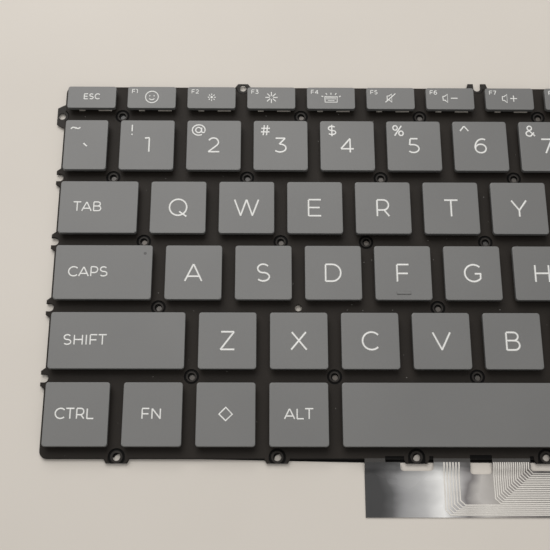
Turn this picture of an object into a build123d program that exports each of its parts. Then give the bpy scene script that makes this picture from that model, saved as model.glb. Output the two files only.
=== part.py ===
from build123d import *
from functools import cache
import math
import os

# Laptop replacement keyboard: thin keycaps on scissor links over a pierced steel plate.
# Millimetres, +Z up, typing side up, +Y towards the function row.
# Layout places are measured from the left end and the front edge of the key block.

# Key block
KEY_PITCH = 18.7
ROW_PITCH = 18.7
KEY_GAP = 3.54
GRAVE_WIDTH = 11.96
BACKSPACE_WIDTH = 28.8
CTRL_WIDTH = 16.5
FRONT_ROW_DEPTH = 16.4
FUNCTION_DEPTH = 6.8
FUNCTION_GAP = 3.3
FUNCTION_ROW_GAP = 3.84
HALF_KEY_GAP = 1.2

# Keycaps
CAP_HEIGHT = 1.2
CAP_TOP_WALL = 0.8
CAP_SIDE_WALL = 0.8
CAP_CORNER = 0.5
KEY_TRAVEL = 1.4
CAP_STOP_GAP = 0.2
HOMING_WIDTH = 3.8
HOMING_DEPTH = 0.8
HOMING_RISE = 0.25
HOMING_INSET = 1.5

# Stack of sheets, from the underside up
SHIELD_THICK = 0.1
GUIDE_THICK = 0.4
PLATE_THICK = 0.4
FILM_THICK = 0.3

# Base plate
PLATE_SIDE_MARGIN = 1.1
PLATE_REAR_MARGIN = 1.5
PLATE_FRONT_MARGIN = 2.75
PLATE_CORNER_R = 2.0
STAKE_HOLE_R = 0.98
PUNCH_SIDES = 8
STAKE_OFFSET = 0.3
NUMBER_STAKE_OFFSET = 0.55
FUNCTION_STAKE_OFFSET = 0.75
SCREW_HOLE_R = 1.0
SIGHT_HOLE_R = 0.95
NOTCH_R = 1.05

# Tabs round the plate: reach past the edge, widths at tip and root, and where the hole sits
FRONT_TAB_REACH = 1.1
FRONT_TAB_TIP = 5.4
FRONT_TAB_ROOT = 6.6
FRONT_TAB_HOLE = -0.5
REAR_TAB_REACH = 1.2
REAR_TAB_TIP = 2.9
REAR_TAB_ROOT = 4.6
REAR_TAB_HOLE = -0.2
SIDE_TAB_REACH = 2.15
SIDE_TAB_TIP = 5.1
SIDE_TAB_ROOT = 7.4
SIDE_TAB_HOLE = 0.77
SIDE_FORK_REACH = 1.1
SIDE_FORK_TIP = 4.0
SIDE_FORK_ROOT = 5.6
SIDE_FORK_HOLE = 0.17
FRONT_FORK_DROP = 0.5
REAR_FORK_REACH = 1.55
REAR_FORK_TIP = 5.2
REAR_FORK_ROOT = 6.2
REAR_FORK_HOLE = 0.2
TAB_BITE = 1.0

# Sheets cut to the plate
FILM_INSET = 0.2
FILM_CLEAR_R = 2.0
GUIDE_INSET = 2.3
SHIELD_INSET = 2.0

# Film tail that leaves the front edge and drops to the surface below
TAIL_START = 81.7
TAIL_LEVEL_RUN = 1.35
TAIL_DROP_RUN = 3.0
APRON_RUN = 10.0
CONNECTOR_WIDTH = 24.0
CONNECTOR_RUN = 18.0
CONNECTOR_SHIFT = 26.0
STIFFENER_RUN = 6.0
STIFFENER_THICK = 0.2
TAB_WINDOW_WIDTH = 8.5
TAB_WINDOW_RUN = 2.9
SLOT_WINDOW_WIDTH = 5.6
SLOT_WINDOW_RUN = 3.7
SLOT_WINDOW_AT = 29.7

# Scissor links, domes and stabiliser bars
SEAT_GAP = 0.05
LINK_THICK = 0.5
LINK_ARM = 0.9
LINK_END_GAP = 1.3
LINK_FLANK_GAP = 1.1
LINK_SIDE_GAP = 0.2
SHORT_LINK_ARM = 0.6
SHORT_LINK_END_GAP = 1.3
SHORT_LINK_FLANK_GAP = 0.3
DOME_SIDES = 6
DOME_BASE_R = 2.2
DOME_TOP_R = 1.2
SHORT_DOME_BASE_R = 0.9
SHORT_DOME_TOP_R = 0.6
TWIN_DOME_GAP = 0.5
BAR_THICK = 0.6
BAR_ARM = 3.2
BAR_FLANK_GAP = 0.4
BAR_REAR_GAP = 0.1

# Worked-out sizes
KEY_WIDTH = KEY_PITCH - KEY_GAP
KEY_DEPTH = ROW_PITCH - KEY_GAP
BLOCK_WIDTH = GRAVE_WIDTH + KEY_GAP + 12 * KEY_PITCH + BACKSPACE_WIDTH
FUNCTION_WIDTH = (BLOCK_WIDTH - 15 * FUNCTION_GAP) / 16
GUIDE_Z = SHIELD_THICK
PLATE_Z = GUIDE_Z + GUIDE_THICK
FILM_Z = PLATE_Z + PLATE_THICK
FILM_TOP = FILM_Z + FILM_THICK
CAP_Z = FILM_TOP + KEY_TRAVEL + CAP_STOP_GAP
CEILING_Z = CAP_Z + CAP_HEIGHT - CAP_TOP_WALL
LINK_RISE = CEILING_Z - FILM_TOP - 2 * SEAT_GAP - LINK_THICK
LINK_WIDTH = KEY_WIDTH - 2 * (CAP_SIDE_WALL + LINK_FLANK_GAP)
TWIN_SPREAD = DOME_BASE_R + TWIN_DOME_GAP + LINK_WIDTH / 2

# Front edges of the rows, then the rear edge of the block
SHIFT_ROW_Y = FRONT_ROW_DEPTH + KEY_GAP
HOME_ROW_Y = SHIFT_ROW_Y + ROW_PITCH
UPPER_ROW_Y = HOME_ROW_Y + ROW_PITCH
NUMBER_ROW_Y = UPPER_ROW_Y + ROW_PITCH
FUNCTION_ROW_Y = NUMBER_ROW_Y + KEY_DEPTH + FUNCTION_ROW_GAP
BLOCK_DEPTH = FUNCTION_ROW_Y + FUNCTION_DEPTH

PLATE_LEFT = -PLATE_SIDE_MARGIN
PLATE_RIGHT = BLOCK_WIDTH + PLATE_SIDE_MARGIN
PLATE_FRONT = -PLATE_FRONT_MARGIN
PLATE_REAR = BLOCK_DEPTH + PLATE_REAR_MARGIN
APRON_Y = PLATE_FRONT - TAIL_LEVEL_RUN - TAIL_DROP_RUN - APRON_RUN
TAIL_Y = APRON_Y - CONNECTOR_RUN

# The origin is under the middle of the whole part's box, tabs and tail included.
BOX_REAR = PLATE_REAR + max(REAR_TAB_REACH, REAR_FORK_REACH)
ORIGIN_X = BLOCK_WIDTH / 2
ORIGIN_Y = (BOX_REAR + TAIL_Y) / 2

# Keys that travel one by one; the rest of the block is one group.
TRAVELLING = (
    "esc f1 f2 f3 f4 f5 f6 f7 f8 grave 1 2 3 4 5 6 7 8 9 tab q w e r t y u i "
    "caps a s d f g h j k shift_left z x c v b n ctrl_left fn meta alt_left space"
).split()
HOMING_KEYS = ("f", "j")


class Key:
    """One keycap: its name, front-left corner and size in the layout."""

    def __init__(self, name, x, y, width, depth):
        self.name = name
        self.x = x
        self.y = y
        self.width = width
        self.depth = depth
        self.centre = (x + width / 2, y + depth / 2)
        self.short = depth < KEY_DEPTH / 2 + KEY_GAP
        self.wide = width > 2 * (TWIN_SPREAD + LINK_WIDTH / 2 + CAP_SIDE_WALL + LINK_FLANK_GAP)


def run_of_keys(names, x, y, width, gap, depth):
    """Equal keys side by side, and the place where the next key starts."""
    keys = []
    for name in names:
        keys.append(Key(name, x, y, width, depth))
        x += width + gap
    return keys, x


def lettered_row(first, first_width, names, last, y):
    """A row with one wide key at each end; the last one fills the block."""
    keys = [Key(first, 0, y, first_width, KEY_DEPTH)]
    middle, x = run_of_keys(names, first_width + KEY_GAP, y, KEY_WIDTH, KEY_GAP, KEY_DEPTH)
    keys += middle
    keys.append(Key(last, x, y, BLOCK_WIDTH - x, KEY_DEPTH))
    return keys


def front_row():
    """Modifier keys, space bar and the arrow cluster with two half-height keys."""
    depth = FRONT_ROW_DEPTH
    keys = [Key("ctrl_left", 0, 0, CTRL_WIDTH, depth)]
    middle, x = run_of_keys(("fn", "meta", "alt_left"), CTRL_WIDTH + KEY_GAP, 0, KEY_WIDTH, KEY_GAP, depth)
    keys += middle
    space_width = 4 * KEY_PITCH + KEY_WIDTH
    keys.append(Key("space", x, 0, space_width, depth))
    x += space_width + KEY_GAP
    middle, x = run_of_keys(("alt_right", "ctrl_right"), x, 0, KEY_WIDTH, KEY_GAP, depth)
    keys += middle
    arrow_width = (BLOCK_WIDTH - x - 2 * KEY_GAP) / 3
    half_depth = (depth - HALF_KEY_GAP) / 2
    keys.append(Key("left", x, 0, arrow_width, depth))
    x += arrow_width + KEY_GAP
    keys.append(Key("down", x, 0, arrow_width, half_depth))
    keys.append(Key("up", x, half_depth + HALF_KEY_GAP, arrow_width, half_depth))
    x += arrow_width + KEY_GAP
    keys.append(Key("right", x, 0, arrow_width, depth))
    return keys


tab_width = GRAVE_WIDTH + KEY_PITCH / 2
caps_width = tab_width + KEY_PITCH / 4
shift_width = caps_width + KEY_PITCH / 2
function_names = "esc f1 f2 f3 f4 f5 f6 f7 f8 f9 f10 f11 f12 print delete power".split()
function_keys, row_end = run_of_keys(
    function_names, 0, FUNCTION_ROW_Y, FUNCTION_WIDTH, FUNCTION_GAP, FUNCTION_DEPTH
)
number_names = "1 2 3 4 5 6 7 8 9 0 minus equals".split()
number_keys = lettered_row("grave", GRAVE_WIDTH, number_names, "backspace", NUMBER_ROW_Y)
upper_names = "q w e r t y u i o p bracket_open bracket_close".split()
upper_keys = lettered_row("tab", tab_width, upper_names, "backslash", UPPER_ROW_Y)
home_names = "a s d f g h j k l semicolon quote".split()
home_keys = lettered_row("caps", caps_width, home_names, "enter", HOME_ROW_Y)
shift_names = "z x c v b n m comma period slash".split()
shift_keys = lettered_row("shift_left", shift_width, shift_names, "shift_right", SHIFT_ROW_Y)
all_keys = function_keys + number_keys + upper_keys + home_keys + shift_keys + front_row()


def gap_after(keys, name):
    """Middle of the gap after the named key of a row."""
    for key, following in zip(keys, keys[1:]):
        if key.name == name:
            return (key.x + key.width + following.x) / 2


# Staked holes lie in the gaps between rows, each in line with a gap between two keys.
function_gap_y = FUNCTION_ROW_Y - FUNCTION_ROW_GAP / 2 + FUNCTION_STAKE_OFFSET
number_gap_y = NUMBER_ROW_Y - KEY_GAP / 2 + NUMBER_STAKE_OFFSET
upper_gap_y = UPPER_ROW_Y - KEY_GAP / 2 + STAKE_OFFSET
home_gap_y = HOME_ROW_Y - KEY_GAP / 2 + STAKE_OFFSET
shift_gap_y = SHIFT_ROW_Y - KEY_GAP / 2 + STAKE_OFFSET
stake_gaps = (
    (function_keys, "esc f3 f5 f7 print", function_gap_y),
    (number_keys, "grave 2 4 6 equals", number_gap_y),
    (upper_keys, "tab w t", upper_gap_y),
    (home_keys, "d", upper_gap_y),
    (home_keys, "caps f k", home_gap_y),
    (shift_keys, "shift_left x v", shift_gap_y),
)
stakes = [
    (gap_after(keys, name), y)
    for keys, names, y in stake_gaps
    for name in names.split()
]
sight_hole = (gap_after(home_keys, "s"), home_gap_y)

# Places of the tabs along their edges. The right half repeats the left one.
FRONT_TABS_LEFT = (18.6, 59.5, 95.0)
FRONT_TAB_MIDDLE = 128.15
REAR_TAB_LEFT = 49.7
REAR_FORK_LEFT = 117.5
fork_rows = (shift_gap_y - FRONT_FORK_DROP, home_gap_y, upper_gap_y, number_gap_y)


def mirrored(places):
    return [*places, *[BLOCK_WIDTH - x for x in places]]


front_tabs = sorted([*mirrored(FRONT_TABS_LEFT), FRONT_TAB_MIDDLE])
front_edge = [Location((x, PLATE_FRONT), 180) for x in front_tabs]
rear_tab_edge = [Location((x, PLATE_REAR), 0) for x in mirrored((REAR_TAB_LEFT,))]
rear_fork_edge = [Location((x, PLATE_REAR), 0) for x in mirrored((REAR_FORK_LEFT,))]
side_tab_edge = [Location((PLATE_LEFT, function_gap_y), 90), Location((PLATE_RIGHT, function_gap_y), -90)]
side_fork_edge = [Location((PLATE_LEFT, y), 90) for y in fork_rows]
side_fork_edge += [Location((PLATE_RIGHT, y), -90) for y in fork_rows]


def tab(reach, tip, root):
    """Trapezium that grows out of an edge along +Y."""
    return Polygon(
        (-root / 2, -TAB_BITE),
        (root / 2, -TAB_BITE),
        (root / 2, 0),
        (tip / 2, reach),
        (-tip / 2, reach),
        (-root / 2, 0),
        align=None,
    )


def punched(radius):
    """Many-sided hole whose flats lie on the given radius."""
    turn = 180 / PUNCH_SIDES
    return RegularPolygon(radius, PUNCH_SIDES, major_radius=False, rotation=turn)


def open_slot(radius, start, end):
    """Slot along +Y with a punched end, open at its far end."""
    length = end - start
    return Pos(0, start) * punched(radius) + Pos(0, start + length / 2) * Rectangle(2 * radius, length)


def sheet_rectangle(inset):
    """Rectangle of the plate, drawn in by an inset."""
    width = PLATE_RIGHT - PLATE_LEFT - 2 * inset
    depth = PLATE_REAR - PLATE_FRONT - 2 * inset
    middle = ((PLATE_LEFT + PLATE_RIGHT) / 2, (PLATE_FRONT + PLATE_REAR) / 2)
    return Pos(*middle) * Rectangle(width, depth)


def sheet_outline(inset):
    """The same with the plate's rounded front corners."""
    front_corners = sheet_rectangle(inset).vertices().sort_by(Axis.Y)[:2]
    return fillet(front_corners, PLATE_CORNER_R - inset)


def base_plate():
    """Steel plate with screw tabs, open forks for posts and staked holes."""
    tabs = [place * tab(FRONT_TAB_REACH, FRONT_TAB_TIP, FRONT_TAB_ROOT) for place in front_edge]
    tabs += [place * tab(REAR_TAB_REACH, REAR_TAB_TIP, REAR_TAB_ROOT) for place in rear_tab_edge]
    tabs += [place * tab(SIDE_TAB_REACH, SIDE_TAB_TIP, SIDE_TAB_ROOT) for place in side_tab_edge]
    tabs += [place * tab(SIDE_FORK_REACH, SIDE_FORK_TIP, SIDE_FORK_ROOT) for place in side_fork_edge]
    tabs += [place * tab(REAR_FORK_REACH, REAR_FORK_TIP, REAR_FORK_ROOT) for place in rear_fork_edge]
    cuts = [place * Pos(0, FRONT_TAB_HOLE) * Circle(SCREW_HOLE_R) for place in front_edge]
    cuts += [place * Pos(0, REAR_TAB_HOLE) * Circle(SCREW_HOLE_R) for place in rear_tab_edge]
    cuts += [place * Pos(0, SIDE_TAB_HOLE) * Circle(SCREW_HOLE_R) for place in side_tab_edge]
    cuts += [place * open_slot(NOTCH_R, SIDE_FORK_HOLE, SIDE_FORK_REACH) for place in side_fork_edge]
    cuts += [place * open_slot(NOTCH_R, REAR_FORK_HOLE, REAR_FORK_REACH) for place in rear_fork_edge]
    cuts += [Pos(*place) * punched(STAKE_HOLE_R) for place in stakes]
    cuts.append(Pos(*sight_hole) * punched(SIGHT_HOLE_R))
    return Pos(0, 0, PLATE_Z) * extrude(sheet_outline(0) + tabs - cuts, PLATE_THICK)


def tail_windows():
    """Openings in the tail: round the front tabs it passes, and a slot on each side."""
    windows = []
    start = PLATE_FRONT + FILM_INSET
    for x in front_tabs:
        if TAIL_START < x < BLOCK_WIDTH - TAIL_START:
            end = PLATE_FRONT - TAB_WINDOW_RUN
            windows.append((x, TAB_WINDOW_WIDTH, start, end))
    for x in mirrored((TAIL_START + SLOT_WINDOW_AT,)):
        windows.append((x, SLOT_WINDOW_WIDTH, start, PLATE_FRONT - SLOT_WINDOW_RUN))
    return windows


def film_tail():
    """Apron that folds down from the film's front edge, and the narrow connector end."""
    start = PLATE_FRONT + FILM_INSET
    fold = PLATE_FRONT - TAIL_LEVEL_RUN
    foot = fold - TAIL_DROP_RUN
    section = Polygon(
        (start, FILM_TOP),
        (start, FILM_Z),
        (fold, FILM_Z),
        (foot, 0),
        (APRON_Y, 0),
        (APRON_Y, FILM_THICK),
        (foot, FILM_THICK),
        (fold, FILM_TOP),
        align=None,
    )
    width = BLOCK_WIDTH - 2 * TAIL_START
    apron = Pos(TAIL_START, 0, 0) * extrude(Plane.YZ * section, width, dir=(1, 0, 0))
    for x, window_width, rear, front in tail_windows():
        middle = Pos(x, (rear + front) / 2, FILM_TOP / 2)
        apron -= middle * Box(window_width, rear - front, 2 * FILM_TOP)
    end = Pos(ORIGIN_X + CONNECTOR_SHIFT, (APRON_Y + TAIL_Y) / 2, FILM_THICK / 2)
    return apron + end * Box(CONNECTOR_WIDTH, CONNECTOR_RUN, FILM_THICK)


def membrane_sheet():
    """Black switch film over the plate, cleared round every hole, with its tail."""
    cuts = [Pos(*place) * punched(FILM_CLEAR_R) for place in stakes]
    cuts.append(Pos(*sight_hole) * punched(SIGHT_HOLE_R))
    tabs = [
        (front_edge, FRONT_TAB_HOLE, FRONT_TAB_REACH),
        (rear_tab_edge, REAR_TAB_HOLE, REAR_TAB_REACH),
        (side_tab_edge, SIDE_TAB_HOLE, SIDE_TAB_REACH),
        (side_fork_edge, SIDE_FORK_HOLE, SIDE_FORK_REACH),
        (rear_fork_edge, REAR_FORK_HOLE, REAR_FORK_REACH),
    ]
    for places, hole, reach in tabs:
        cuts += [place * open_slot(FILM_CLEAR_R, hole, reach) for place in places]
    sheet = Pos(0, 0, FILM_Z) * extrude(sheet_outline(FILM_INSET) - cuts, FILM_THICK)
    return sheet + film_tail()


def backing_sheet(inset, z, thick):
    """Plain sheet behind the plate, open at the sight hole."""
    outline = sheet_rectangle(inset) - Pos(*sight_hole) * punched(SIGHT_HOLE_R)
    return Pos(0, 0, z) * extrude(outline, thick)


def tail_stiffener():
    """Backing strip on the connector end of the tail."""
    middle = Pos(ORIGIN_X + CONNECTOR_SHIFT, TAIL_Y + STIFFENER_RUN / 2, FILM_THICK + STIFFENER_THICK / 2)
    return middle * Box(CONNECTOR_WIDTH, STIFFENER_RUN, STIFFENER_THICK)


def cut_corner_rectangle(width, depth, corner):
    return chamfer(Rectangle(width, depth).vertices(), corner)


def keycap(key):
    """Hollow cap with a thick top, cut corners and a raised bar on the homing keys."""
    body = extrude(cut_corner_rectangle(key.width, key.depth, CAP_CORNER), CAP_HEIGHT)
    hollow = Rectangle(key.width - 2 * CAP_SIDE_WALL, key.depth - 2 * CAP_SIDE_WALL)
    cap = body - extrude(hollow, CAP_HEIGHT - CAP_TOP_WALL)
    if key.name in HOMING_KEYS:
        y = HOMING_INSET + HOMING_DEPTH / 2 - key.depth / 2
        bar = Box(HOMING_WIDTH, HOMING_DEPTH, 2 * HOMING_RISE)
        cap += Pos(0, y, CAP_HEIGHT) * bar
    return Pos(*key.centre, CAP_Z) * cap


def link(length, width, arm):
    """U-shaped link along Y, tilted so that its closed end is the high one."""
    outline = Rectangle(width, length) - Pos(0, -arm) * Rectangle(width - 2 * arm, length)
    side = Polygon(
        (-length / 2, 0),
        (-length / 2, LINK_THICK),
        (length / 2, LINK_THICK + LINK_RISE),
        (length / 2, LINK_RISE),
        align=None,
    )
    tilted = Pos(-width / 2, 0, 0) * extrude(Plane.YZ * side, width, dir=(1, 0, 0))
    return tilted & extrude(outline, LINK_RISE + LINK_THICK)


@cache
def link_pair(length, outer_width, arm):
    """Outer link rising to the rear, and an inner one inside it rising to the front."""
    outer = link(length, outer_width, arm)
    inner = link(length, outer_width - 2 * (arm + LINK_SIDE_GAP), arm)
    return outer, Rot(0, 0, 180) * inner


def scissors(key):
    """Link pairs under one key: turned sideways if it is short, two if it is wide."""
    x, y = key.centre
    place = Pos(x, y, FILM_TOP + SEAT_GAP)
    if key.short:
        length = FUNCTION_WIDTH - 2 * (CAP_SIDE_WALL + SHORT_LINK_END_GAP)
        width = FUNCTION_DEPTH - 2 * (CAP_SIDE_WALL + SHORT_LINK_FLANK_GAP)
        pair = link_pair(length, width, SHORT_LINK_ARM)
        return [[place * Rot(0, 0, 90) * shape for shape in pair]]
    length = KEY_DEPTH - 2 * (CAP_SIDE_WALL + LINK_END_GAP)
    if not key.wide:
        width = min(key.width, KEY_WIDTH) - 2 * (CAP_SIDE_WALL + LINK_FLANK_GAP)
        return [[place * shape for shape in link_pair(length, width, LINK_ARM)]]
    pair = link_pair(length, LINK_WIDTH, LINK_ARM)
    return [[Pos(side * TWIN_SPREAD, 0, 0) * place * shape for shape in pair] for side in (-1, 1)]


def dome(base_r, top_r):
    """Rubber dome that stands on the film and carries the cap."""
    height = CEILING_Z - FILM_TOP - SEAT_GAP
    foot = RegularPolygon(base_r, DOME_SIDES, major_radius=False)
    return extrude(foot, height, taper=math.degrees(math.atan2(base_r - top_r, height)))


def stabiliser_bar(key):
    """Bent wire under the rear edge of a wide key."""
    width = key.width - 2 * (CAP_SIDE_WALL + BAR_FLANK_GAP)
    shape = Rectangle(width, BAR_ARM) - Pos(0, -BAR_THICK) * Rectangle(width - 2 * BAR_THICK, BAR_ARM)
    rear = key.y + key.depth - CAP_SIDE_WALL - BAR_REAR_GAP - BAR_ARM / 2
    z = CEILING_Z - SEAT_GAP - BAR_THICK
    return Pos(key.centre[0], rear, z) * extrude(shape, BAR_THICK)


def write(name, shapes):
    """One file for one piece or one group of like pieces, moved to the part's origin."""
    group = Compound([solid for shape in shapes for solid in shape.solids()])
    placed = Pos(-ORIGIN_X, -ORIGIN_Y, 0) * group
    export_step(placed, f"parts/{name}.step")


os.makedirs("parts", exist_ok=True)
tall_keys = [key for key in all_keys if not key.short]
short_keys = [key for key in all_keys if key.short]
tall_pairs = [pair for key in tall_keys for pair in scissors(key)]
short_pairs = [pair for key in short_keys for pair in scissors(key)]
large_dome = dome(DOME_BASE_R, DOME_TOP_R)
short_dome = dome(SHORT_DOME_BASE_R, SHORT_DOME_TOP_R)

write("rear_shield", [backing_sheet(SHIELD_INSET, 0, SHIELD_THICK)])
write("light_guide", [backing_sheet(GUIDE_INSET, GUIDE_Z, GUIDE_THICK)])
write("base_plate", [base_plate()])
write("membrane_sheet", [membrane_sheet()])
write("tail_stiffener", [tail_stiffener()])
write("outer_links", [outer for outer, inner in tall_pairs])
write("inner_links", [inner for outer, inner in tall_pairs])
write("short_key_links", [shape for pair in short_pairs for shape in pair])
domes = [Pos(*key.centre, FILM_TOP) * large_dome for key in tall_keys]
domes += [Pos(*key.centre, FILM_TOP) * short_dome for key in short_keys]
write("rubber_domes", domes)
write("stabiliser_bars", [stabiliser_bar(key) for key in tall_keys if key.wide])
for key in all_keys:
    if key.name in TRAVELLING:
        write(f"keycap_{key.name}", [keycap(key)])
write("right_side_keycaps", [keycap(key) for key in all_keys if key.name not in TRAVELLING])
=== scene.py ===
import math
import bmesh
import bpy
from mathutils import Matrix, Vector


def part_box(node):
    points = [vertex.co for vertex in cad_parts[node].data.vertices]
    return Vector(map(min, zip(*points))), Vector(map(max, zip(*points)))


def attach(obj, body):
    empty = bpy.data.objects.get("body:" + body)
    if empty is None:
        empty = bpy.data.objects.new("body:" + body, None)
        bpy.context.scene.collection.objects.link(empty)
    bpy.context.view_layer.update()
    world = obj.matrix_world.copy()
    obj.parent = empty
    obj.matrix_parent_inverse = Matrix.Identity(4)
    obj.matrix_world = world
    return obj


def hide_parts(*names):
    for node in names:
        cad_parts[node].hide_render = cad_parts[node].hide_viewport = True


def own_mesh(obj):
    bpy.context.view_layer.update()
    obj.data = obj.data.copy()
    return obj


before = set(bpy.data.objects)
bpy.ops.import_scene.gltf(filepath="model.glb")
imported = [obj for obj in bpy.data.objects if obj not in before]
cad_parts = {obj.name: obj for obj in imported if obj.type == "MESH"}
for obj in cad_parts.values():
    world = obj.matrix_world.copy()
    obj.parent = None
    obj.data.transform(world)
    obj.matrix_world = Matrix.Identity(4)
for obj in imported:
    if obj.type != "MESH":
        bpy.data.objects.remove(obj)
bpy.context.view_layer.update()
scene = bpy.context.scene
mm = 0.001
print("frame loaded:", len(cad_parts), "nodes")


# shared helpers, all lengths in millimetres

def deselectAll():
    bpy.ops.object.select_all(action="DESELECT")


def activate(obj, *others):
    deselectAll()
    for item in (obj, *others):
        item.select_set(True)
    bpy.context.view_layer.objects.active = obj


def settle():  # an object's place goes into its mesh
    bpy.ops.object.transform_apply(location=True, rotation=True, scale=True)


def coat(obj, *materials):
    obj.data.materials.clear()
    for material in materials:
        obj.data.materials.append(material)


def pick(obj, kind, test):  # edit mode, with only the faces or edges that pass the test
    activate(obj)
    bpy.ops.object.mode_set(mode="EDIT")
    bpy.ops.mesh.select_mode(type=kind)
    bpy.ops.mesh.select_all(action="DESELECT")
    mesh = bmesh.from_edit_mesh(obj.data)
    mesh.normal_update()
    if kind == "FACE":
        for face in mesh.faces:
            face.select_set(test(face.calc_center_median() / mm, face.normal))
    else:
        for edge in mesh.edges:
            a, b = (vert.co / mm for vert in edge.verts)
            edge.select_set(test(a, b))
    bmesh.update_edit_mesh(obj.data)


def leaveEdit():
    bpy.ops.object.mode_set(mode="OBJECT")


def push(x, y, z):  # extrudes what is picked
    bpy.ops.mesh.extrude_region_move(TRANSFORM_OT_translate={"value": (x * mm, y * mm, z * mm)})


def roundEdges(obj, radius, steps, test):
    pick(obj, "EDGE", test)
    bpy.ops.mesh.bevel(offset=radius * mm, segments=steps, affect="EDGES")
    leaveEdit()


def block(name, low, high):
    deselectAll()
    middle = [(a + b) / 2 * mm for a, b in zip(low, high)]
    bpy.ops.mesh.primitive_cube_add(size=1, location=middle)
    obj = bpy.context.object
    obj.name = name
    obj.scale = [(b - a) * mm for a, b in zip(low, high)]
    settle()
    return obj


def peg(name, place, radius, low, high, sides=32):
    deselectAll()
    bpy.ops.mesh.primitive_cylinder_add(
        vertices=sides, radius=radius * mm, depth=(high - low) * mm,
        location=(place[0] * mm, place[1] * mm, (low + high) / 2 * mm))
    obj = bpy.context.object
    obj.name = name
    settle()
    return obj


def setDown(obj, x, y, turn=0):  # turn about the upright, then move, both kept in the mesh
    activate(obj)
    obj.rotation_euler = (0, 0, math.radians(turn))
    obj.location = (x * mm, y * mm, 0)
    settle()
    return obj


def cutNearEnds(bar, x):  # new edge loops at both sides of the middle
    activate(bar)
    bpy.ops.object.mode_set(mode="EDIT")
    for side in (-1, 1):
        bpy.ops.mesh.select_all(action="SELECT")
        bpy.ops.mesh.bisect(plane_co=(side * x * mm, 0, 0), plane_no=(1, 0, 0))
    leaveEdit()


def joined(name, objs):
    activate(*objs)
    if len(objs) > 1:
        bpy.ops.object.join()
    obj = bpy.context.object
    obj.name = name
    return obj


def combine(obj, other, how):
    change = obj.modifiers.new("combine", "BOOLEAN")
    change.operation = how
    change.solver = "EXACT"
    change.object = other
    activate(obj)
    bpy.ops.object.modifier_apply(modifier=change.name)
    bpy.data.objects.remove(other)
    return obj


def softenNormals(obj, angle=50):
    activate(obj)
    bpy.ops.object.shade_smooth_by_angle(angle=math.radians(angle))
    change = obj.modifiers.new("weights", "WEIGHTED_NORMAL")
    change.keep_sharp = True
    bpy.ops.object.modifier_apply(modifier=change.name)


def copyOf(master, name, x, y):
    obj = master.copy()
    obj.data = master.data.copy()
    obj.name = name
    obj.data.transform(Matrix.Translation((x * mm, y * mm, 0)))
    scene.collection.objects.link(obj)
    return obj


def atEach(master, places):
    copies = [copyOf(master, master.name, *place) for place in places]
    bpy.data.objects.remove(master)
    return copies


def strokeCurve(name):
    curve = bpy.data.curves.new(name, "CURVE")
    curve.dimensions = "3D"
    curve.twist_mode = "Z_UP"
    curve.use_fill_caps = True
    return curve


def addLine(curve, points, closed=False):
    spline = curve.splines.new("POLY")
    spline.points.add(len(points) - 1)
    spline.use_cyclic_u = closed
    for point, (x, y, z) in zip(spline.points, points):
        point.co = (x * mm, y * mm, z * mm, 1)
    return spline


def asMesh(name, curve):
    obj = bpy.data.objects.new(name, curve)
    scene.collection.objects.link(obj)
    activate(obj)
    bpy.ops.object.convert(target="MESH")
    return bpy.context.object


def cleaned(obj):  # merges the slivers that combining leaves
    activate(obj)
    bpy.ops.object.mode_set(mode="EDIT")
    bpy.ops.mesh.select_all(action="SELECT")
    bpy.ops.mesh.remove_doubles(threshold=0.002 * mm)
    bpy.ops.mesh.dissolve_degenerate(threshold=0.002 * mm)
    leaveEdit()
    return obj


# materials

def newMaterial(name, roughness=0.5, metallic=0.0):
    material = bpy.data.materials.new(name)
    material.use_nodes = True
    shader = material.node_tree.nodes["Principled BSDF"]
    shader.inputs["Roughness"].default_value = roughness
    shader.inputs["Metallic"].default_value = metallic
    return material, material.node_tree, shader


def objectNoise(tree, size, detail=3.0, stretch=(1, 1, 1)):  # size of the grain in millimetres
    place = tree.nodes.new("ShaderNodeTexCoord")
    mapping = tree.nodes.new("ShaderNodeMapping")
    mapping.inputs["Scale"].default_value = stretch
    noise = tree.nodes.new("ShaderNodeTexNoise")
    noise.inputs["Scale"].default_value = 1 / (size * mm)
    noise.inputs["Detail"].default_value = detail
    tree.links.new(place.outputs["Object"], mapping.inputs["Vector"])
    tree.links.new(mapping.outputs["Vector"], noise.inputs["Vector"])
    return noise


def ramp(tree, source, stops):
    node = tree.nodes.new("ShaderNodeValToRGB")
    while len(node.color_ramp.elements) < len(stops):
        node.color_ramp.elements.new(0.5)
    for element, (place, colour) in zip(node.color_ramp.elements, stops):
        element.position = place
        element.color = (*colour, 1)
    tree.links.new(source, node.inputs["Fac"])
    return node.outputs["Color"]


def greyRamp(tree, source, low, high, start=0.3, end=0.7):
    return ramp(tree, source, [(start, (low,) * 3), (end, (high,) * 3)])


def bump(tree, shader, source, height, strength=1.0):  # height in millimetres
    node = tree.nodes.new("ShaderNodeBump")
    node.inputs["Strength"].default_value = strength
    node.inputs["Distance"].default_value = height * mm
    tree.links.new(source, node.inputs["Height"])
    tree.links.new(node.outputs["Normal"], shader.inputs["Normal"])


def blendColours(tree, factor, first, second, how="MIX"):
    node = tree.nodes.new("ShaderNodeMix")
    node.data_type = "RGBA"
    node.blend_type = how
    for socket, value in ((0, factor), (6, first), (7, second)):
        if isinstance(value, bpy.types.NodeSocket):
            tree.links.new(value, node.inputs[socket])
        else:
            node.inputs[socket].default_value = value
    return node.outputs[2]


def flecks(tree, spacing, threshold):  # sparse specks of dust
    place = tree.nodes.new("ShaderNodeTexCoord")
    cells = tree.nodes.new("ShaderNodeTexVoronoi")
    cells.inputs["Scale"].default_value = 1 / (spacing * mm)
    tree.links.new(place.outputs["Object"], cells.inputs["Vector"])
    return ramp(tree, cells.outputs["Distance"], [(threshold * 0.6, (1, 1, 1)), (threshold, (0, 0, 0))])


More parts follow.
